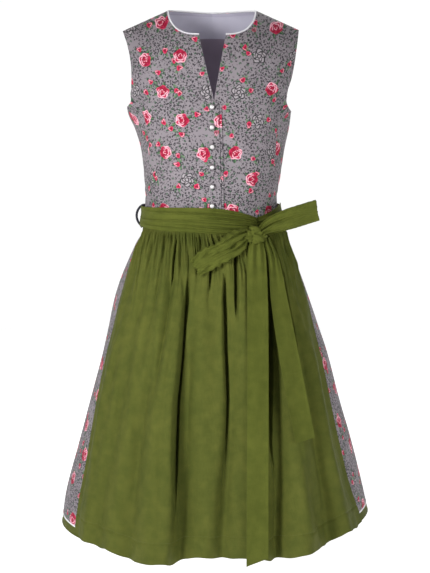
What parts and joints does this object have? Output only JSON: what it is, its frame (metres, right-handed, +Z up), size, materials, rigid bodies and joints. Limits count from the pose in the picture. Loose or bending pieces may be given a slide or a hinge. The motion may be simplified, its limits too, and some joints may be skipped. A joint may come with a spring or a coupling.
{
  "type": "dirndl dress",
  "caption": "Sleeveless midi dress with a buttoned bodice, slit neck, flared skirt with a contrast hem band, and a gathered apron whose ties wrap the waist and end in a bow.",
  "frame": {"origin": "level with the shoulder points at the neck, over the middle of the neck opening, where a hanger or a form carries the dress", "axes": "+Z up, -Y the front of the dress, +X to the right of a person who looks at the front"},
  "size_m": [0.5977, 0.5154, 0.9931],
  "materials": {
    "printed_cotton": "matte small-flower print on a warm grey ground",
    "lining": "smooth plain lining",
    "green_cotton": "slightly glossy plain weave",
    "white_trim": "matte narrow trim",
    "dark_loop": "matte cord",
    "button_metal": "bright silver-coloured metal"
  },
  "bodies": {
    "root": {"bodice_front_left": "printed_cotton", "bodice_front_right": "printed_cotton", "bodice_side_left": "printed_cotton", "bodice_side_right": "printed_cotton", "bodice_back": "printed_cotton", "skirt_front": "printed_cotton", "skirt_back": "printed_cotton", "back_lining": "lining", "hem_band_front": "green_cotton", "hem_band_back": "green_cotton", "apron_panel": "green_cotton", "apron_waistband": "green_cotton", "tie_back_under": "green_cotton", "tie_back_over": "green_cotton", "tie_front_left": "green_cotton", "tie_front_right": "green_cotton", "bow_knot": "green_cotton", "bow_loop_left": "green_cotton", "bow_loop_right": "green_cotton", "bow_tail_long": "green_cotton", "bow_tail_short": "green_cotton", "neck_trim_left": "white_trim", "neck_trim_right": "white_trim", "neck_trim_back": "white_trim", "hem_piping_front": "white_trim", "hem_piping_back": "white_trim", "belt_loop_left": "dark_loop", "belt_loop_right": "dark_loop", "button_1": "button_metal", "button_2": "button_metal", "button_3": "button_metal", "button_4": "button_metal", "button_5": "button_metal", "button_6": "button_metal"}
  },
  "joints": []
}
